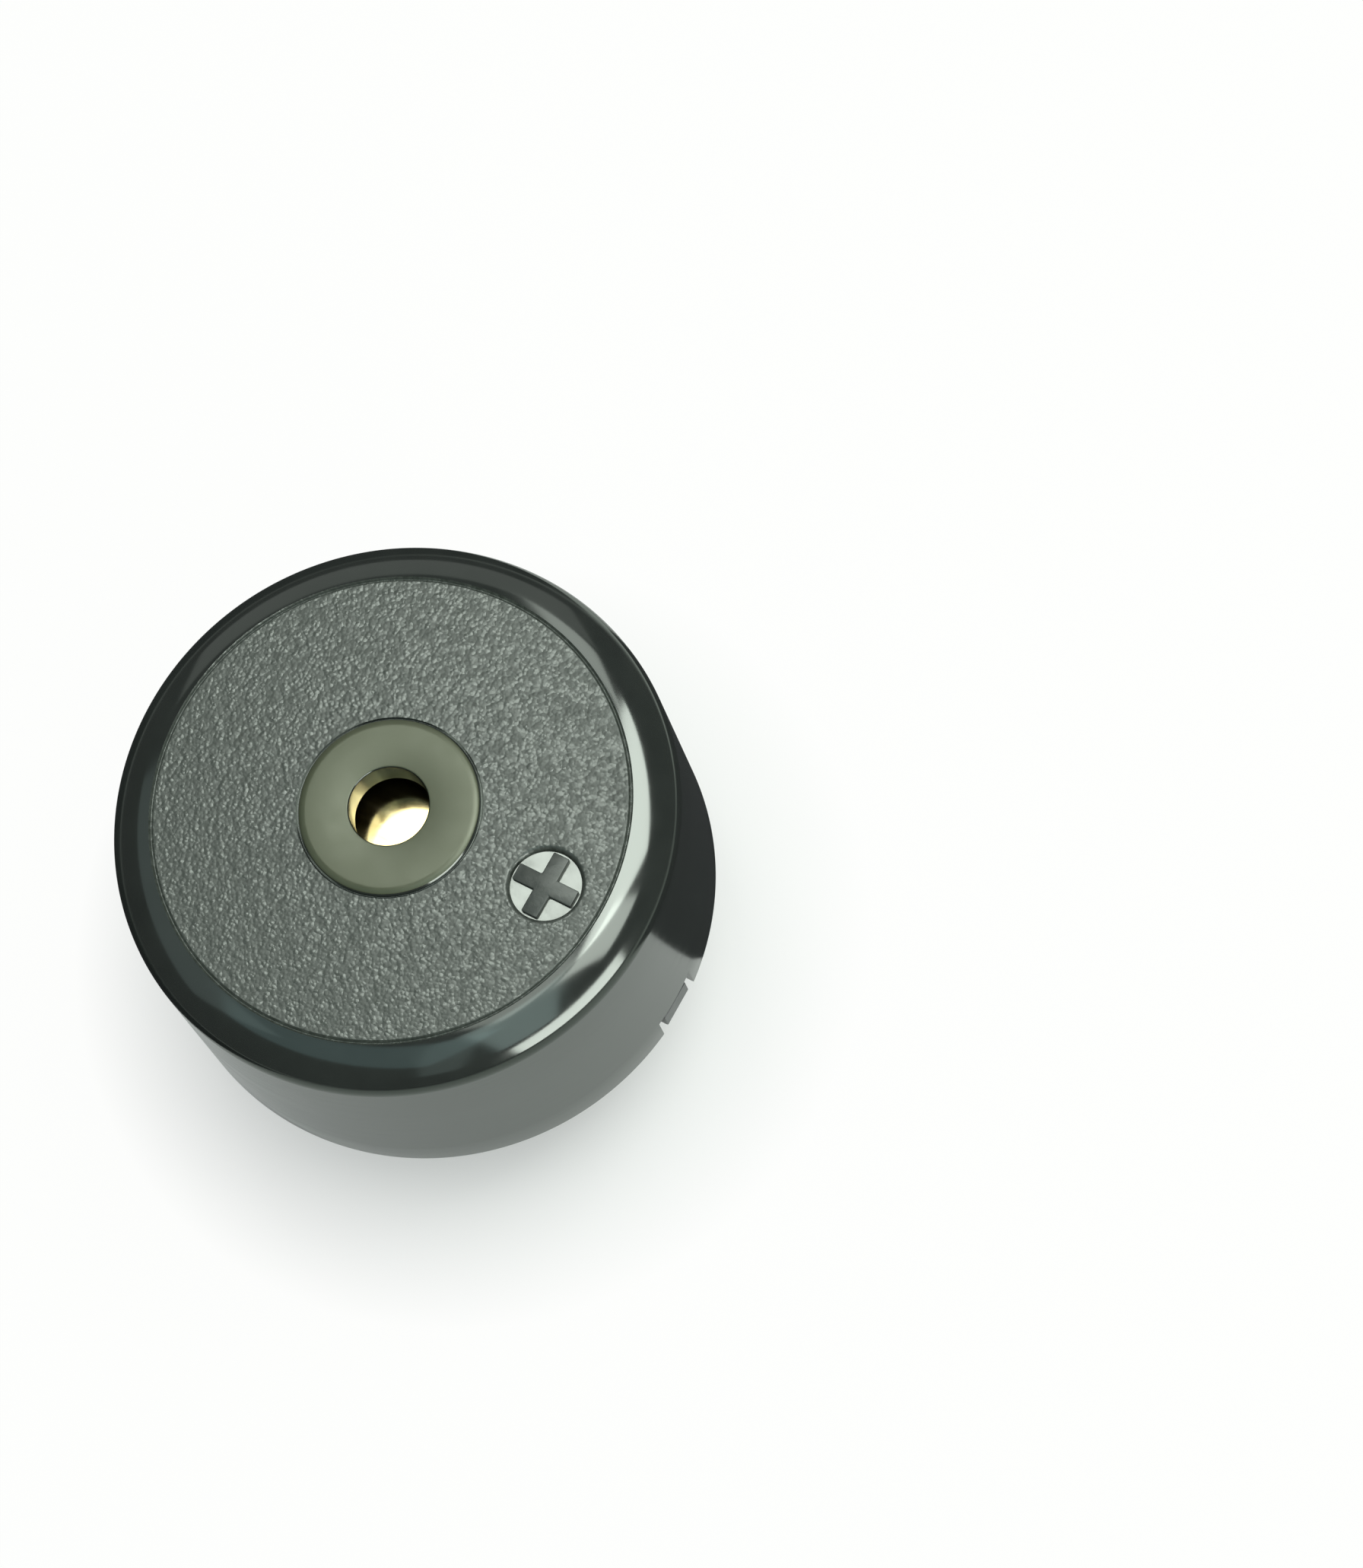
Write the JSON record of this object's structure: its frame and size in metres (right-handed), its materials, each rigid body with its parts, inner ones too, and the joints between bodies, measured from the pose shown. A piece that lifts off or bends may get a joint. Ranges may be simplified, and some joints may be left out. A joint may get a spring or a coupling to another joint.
{
  "type": "piezo buzzer",
  "caption": "Round black piezo buzzer: rounded case with a stippled face and central sound hole, keyed base plate, and straight pins that plug into a circuit board.",
  "frame": {"origin": "centre of the seating plane, where the case rim meets a circuit board", "axes": "+Z out of the sounding face, +X towards the positive pin, pins along -Z"},
  "size_m": [0.024, 0.024, 0.0177],
  "materials": {
    "case_plastic": "stippled face, satin wall, glossy edge",
    "plate_plastic": "satin",
    "tinned_pin": "tinned, satin",
    "brass_sheet": "rolled, bright",
    "piezo_ceramic": "fired silver electrode, matte",
    "silicone": "soft, satin",
    "phenolic_board": "laminate, satin",
    "moulded_component": "matte",
    "chip_ceramic": "matte",
    "main_lead_sleeve": "gloss",
    "feedback_lead_sleeve": "gloss",
    "common_lead_sleeve": "gloss",
    "solder": "bright solder"
  },
  "bodies": {
    "root": {"case": "case_plastic", "base_plate": "plate_plastic", "positive_pin": "tinned_pin", "negative_pin": "tinned_pin", "brass_diaphragm": "brass_sheet", "piezo_ceramic": "piezo_ceramic", "diaphragm_adhesive": "silicone", "drive_board": "phenolic_board", "transistor": "moulded_component", "base_resistor": "chip_ceramic", "bias_resistor": "chip_ceramic", "collector_resistor": "chip_ceramic", "positive_pin_solder": "solder", "negative_pin_solder": "solder", "main_lead": "main_lead_sleeve", "main_pad_solder": "solder", "main_joint_solder": "solder", "feedback_lead": "feedback_lead_sleeve", "feedback_pad_solder": "solder", "feedback_joint_solder": "solder", "common_lead": "common_lead_sleeve", "common_pad_solder": "solder", "common_joint_solder": "solder"}
  },
  "joints": []
}
